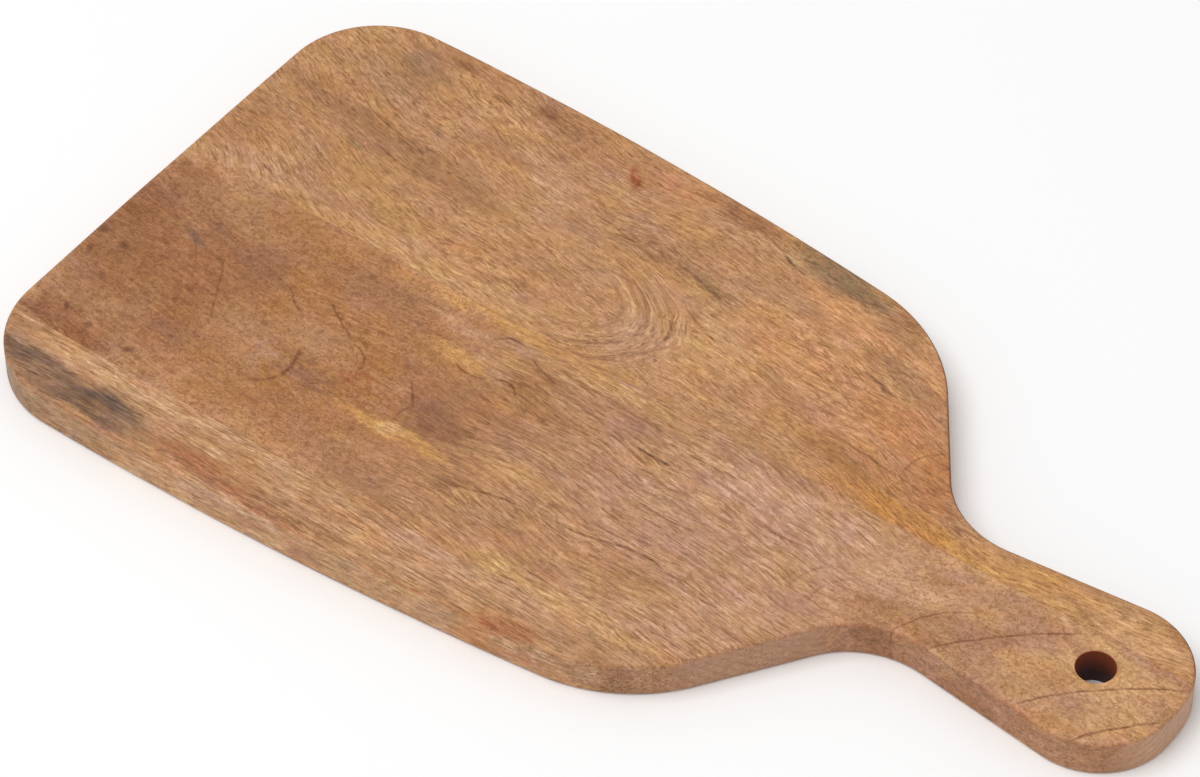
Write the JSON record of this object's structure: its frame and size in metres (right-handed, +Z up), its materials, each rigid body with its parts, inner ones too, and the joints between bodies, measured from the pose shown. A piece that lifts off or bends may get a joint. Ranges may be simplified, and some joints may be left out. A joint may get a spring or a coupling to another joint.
{
  "type": "paddle serving board",
  "caption": "Flat wooden paddle board of edge-glued staves, with rounded corners, a waisted handle and a round hanging hole.",
  "frame": {"origin": "under the middle of the board's overall length and width, on its underside", "axes": "+X along the length toward the handle tip, +Y across the board toward the wide far stave, +Z up out of the serving face"},
  "size_m": [0.4, 0.21, 0.014],
  "materials": {
    "stave_far": "oiled satin",
    "stave_middle": "oiled satin",
    "stave_near": "oiled satin",
    "glue": "dried wood glue, matte"
  },
  "bodies": {
    "root": {"stave_far": "stave_far", "stave_middle": "stave_middle", "stave_near": "stave_near", "glue_line_far": "glue", "glue_line_near": "glue"}
  },
  "joints": []
}
